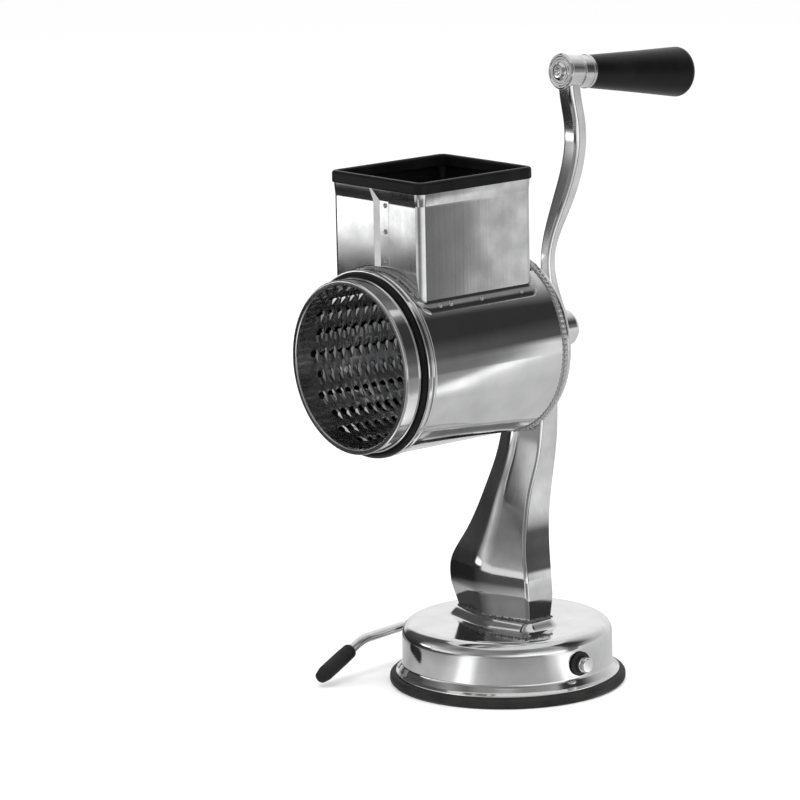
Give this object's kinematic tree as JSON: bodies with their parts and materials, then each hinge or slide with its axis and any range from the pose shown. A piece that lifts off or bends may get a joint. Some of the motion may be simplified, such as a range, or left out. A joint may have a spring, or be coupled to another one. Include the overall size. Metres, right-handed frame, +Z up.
{
  "type": "rotary cabbage shredder",
  "caption": "Hand cranked rotary shredder: perforated drum in an open barrel under a square hopper, on a pressed steel leg and a suction base with a lever.",
  "frame": {"origin": "centre of the underside of the suction base", "axes": "+Z up; the open mouth of the barrel and the lever tip face -Y, the crank is at +Y, the lever comes out on the -X side"},
  "size_m": [0.1509, 0.269, 0.3689],
  "materials": {
    "polished_steel": "polished",
    "drum_steel": "satin, punched",
    "crank_steel": "hand polished",
    "plain_steel": "machined",
    "black_rubber": "moulded, dull",
    "black_plastic": "moulded, half gloss",
    "grip_plastic": "moulded, half gloss",
    "bush_plastic": "plain"
  },
  "bodies": {
    "stand": {"base_shell": "polished_steel", "suction_ring": "black_rubber", "guide_plate": "plain_steel", "shaft_bushes": "plain_steel", "leg_front": "polished_steel", "leg_back": "polished_steel", "foot_weld": "plain_steel", "foot_plate": "plain_steel", "foot_bolts": "plain_steel", "foot_nuts": "plain_steel", "barrel": "polished_steel", "mouth_ring": "black_plastic", "rear_cover": "polished_steel", "rear_seam": "polished_steel", "axle_housing": "plain_steel", "front_bush": "bush_plastic", "rear_bush": "bush_plastic", "hopper_body": "polished_steel", "hopper_flange": "polished_steel", "hopper_lap": "polished_steel", "hopper_trim": "black_plastic", "spot_welds": "plain_steel"},
    "crank": {"crank_arm": "crank_steel", "hub_washer": "plain_steel", "grip_pin": "plain_steel"},
    "drum": {"drum_shell": "drum_steel", "drum_rim": "drum_steel", "drum_seam": "drum_steel", "drum_disc": "drum_steel", "drum_axle": "plain_steel", "axle_collar": "plain_steel"},
    "grip": {"grip": "grip_plastic", "grip_ferrule": "crank_steel"},
    "lever": {"cross_shaft": "plain_steel", "lift_cam": "plain_steel", "shaft_collars": "plain_steel", "lever_rod": "plain_steel", "lever_cap": "black_plastic"},
    "lifter": {"suction_disc": "black_rubber", "pad_plate": "plain_steel", "lift_yoke": "plain_steel"}
  },
  "joints": [
    {"name": "crank_turn", "type": "hinge", "parent": "stand", "child": "crank", "pos_m": [0, 0, 0.2055], "axis": [0, 1, 0], "continuous": true},
    {"name": "drum_draw", "type": "slide", "parent": "crank", "child": "drum", "axis": [0, -1, 0], "range_m": [0, 0.165]},
    {"name": "grip_spin", "type": "hinge", "parent": "crank", "child": "grip", "pos_m": [0, 0.0484, 0.3584], "axis": [0, 0.9948, -0.1019], "continuous": true},
    {"name": "lever_turn", "type": "hinge", "parent": "stand", "child": "lever", "pos_m": [0, 0, 0.021], "axis": [1, 0, 0], "range_deg": [-90, 0]},
    {"name": "pad_lift", "type": "slide", "parent": "stand", "child": "lifter", "axis": [0, 0, 1], "range_m": [0, 0.0035]}
  ],
  "couplings": [
    {"joint": "lever_turn", "follows": "pad_lift", "rad_per_m": -448.79}
  ]
}
